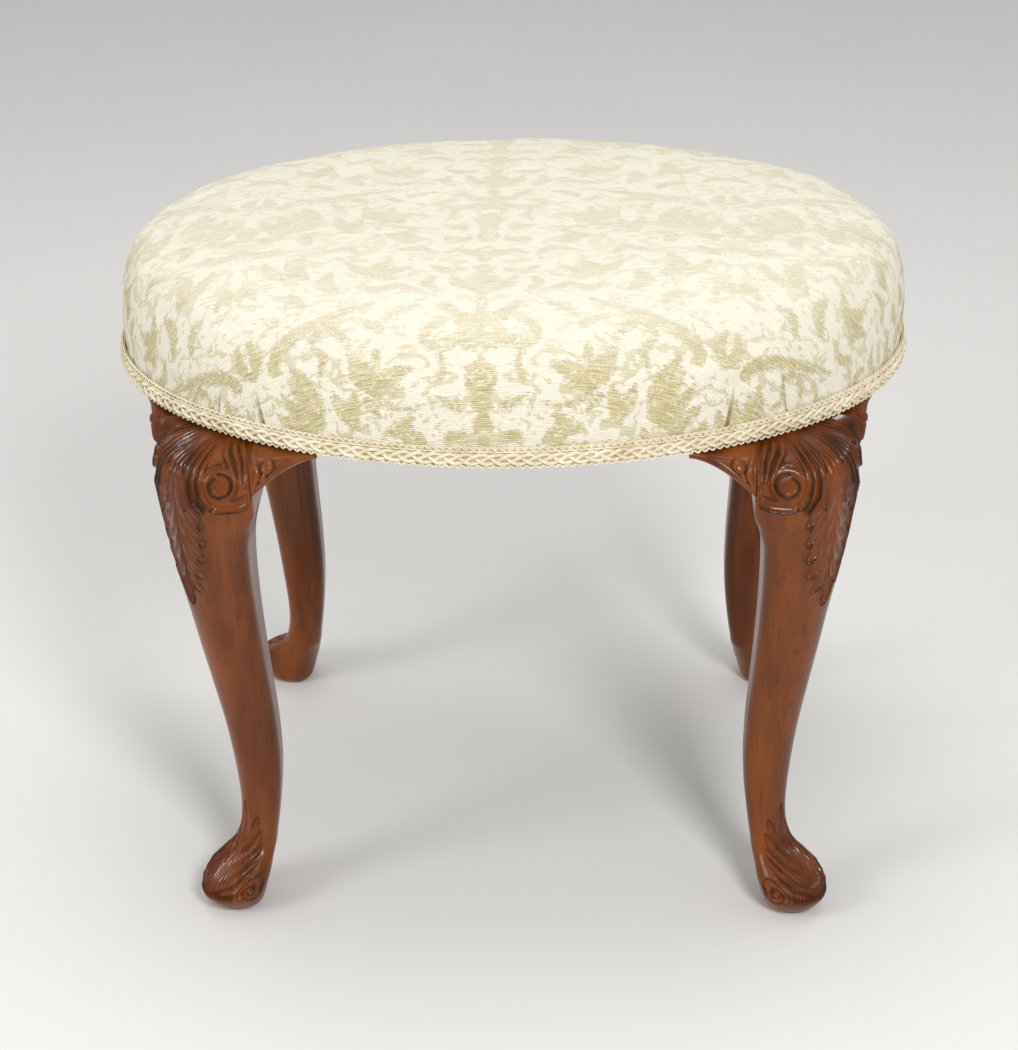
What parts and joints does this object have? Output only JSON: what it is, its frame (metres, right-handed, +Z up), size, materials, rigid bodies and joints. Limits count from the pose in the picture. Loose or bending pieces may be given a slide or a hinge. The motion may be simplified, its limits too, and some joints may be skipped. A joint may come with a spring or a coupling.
{
  "type": "vanity stool",
  "caption": "Oval stuffed-over vanity stool with a damask seat, gimp braid edge and carved cabriole legs with leaf knees and scroll toes.",
  "frame": {"origin": "on the floor under the middle of the seat", "axes": "+X along the long side of the seat, front faces -Y, +Z up"},
  "size_m": [0.5592, 0.4372, 0.477],
  "materials": {
    "walnut": "polished, carved",
    "beech": "planed, unpolished",
    "screw_steel": "plain",
    "jute_web": "woven jute",
    "hessian": "open weave",
    "hair": "curled hair",
    "cotton_wadding": "soft",
    "damask": "damask, cream with gold leaves",
    "gimp": "woven braid",
    "dust_cloth": "black cambric"
  },
  "bodies": {
    "root": {"corner_block_front_left": "beech", "corner_block_front_right": "beech", "corner_block_rear_left": "beech", "corner_block_rear_right": "beech", "corner_screw_front_left": "screw_steel", "corner_screw_front_right": "screw_steel", "corner_screw_rear_left": "screw_steel", "corner_screw_rear_right": "screw_steel", "dowel_front_left_end_rail_lower": "beech", "dowel_front_left_end_rail_upper": "beech", "dowel_front_left_long_rail_lower": "beech", "dowel_front_left_long_rail_upper": "beech", "dowel_front_right_end_rail_lower": "beech", "dowel_front_right_end_rail_upper": "beech", "dowel_front_right_long_rail_lower": "beech", "dowel_front_right_long_rail_upper": "beech", "dowel_rear_left_end_rail_lower": "beech", "dowel_rear_left_end_rail_upper": "beech", "dowel_rear_left_long_rail_lower": "beech", "dowel_rear_left_long_rail_upper": "beech", "dowel_rear_right_end_rail_lower": "beech", "dowel_rear_right_end_rail_upper": "beech", "dowel_rear_right_long_rail_lower": "beech", "dowel_rear_right_long_rail_upper": "beech", "dust_cloth": "dust_cloth", "gimp_braid": "gimp", "hair_stuffing": "hair", "hessian": "hessian", "knee_ear_front_left_end": "walnut", "knee_ear_front_left_long": "walnut", "knee_ear_front_right_end": "walnut", "knee_ear_front_right_long": "walnut", "knee_ear_rear_left_end": "walnut", "knee_ear_rear_left_long": "walnut", "knee_ear_rear_right_end": "walnut", "knee_ear_rear_right_long": "walnut", "leg_front_left": "walnut", "leg_front_right": "walnut", "leg_rear_left": "walnut", "leg_rear_right": "walnut", "rail_front": "beech", "rail_left": "beech", "rail_rear": "beech", "rail_right": "beech", "seat_cover": "damask", "wadding": "cotton_wadding", "web_cross_1": "jute_web", "web_cross_2": "jute_web", "web_cross_3": "jute_web", "web_cross_4": "jute_web", "web_long_1": "jute_web", "web_long_2": "jute_web", "web_long_3": "jute_web"}
  },
  "joints": []
}
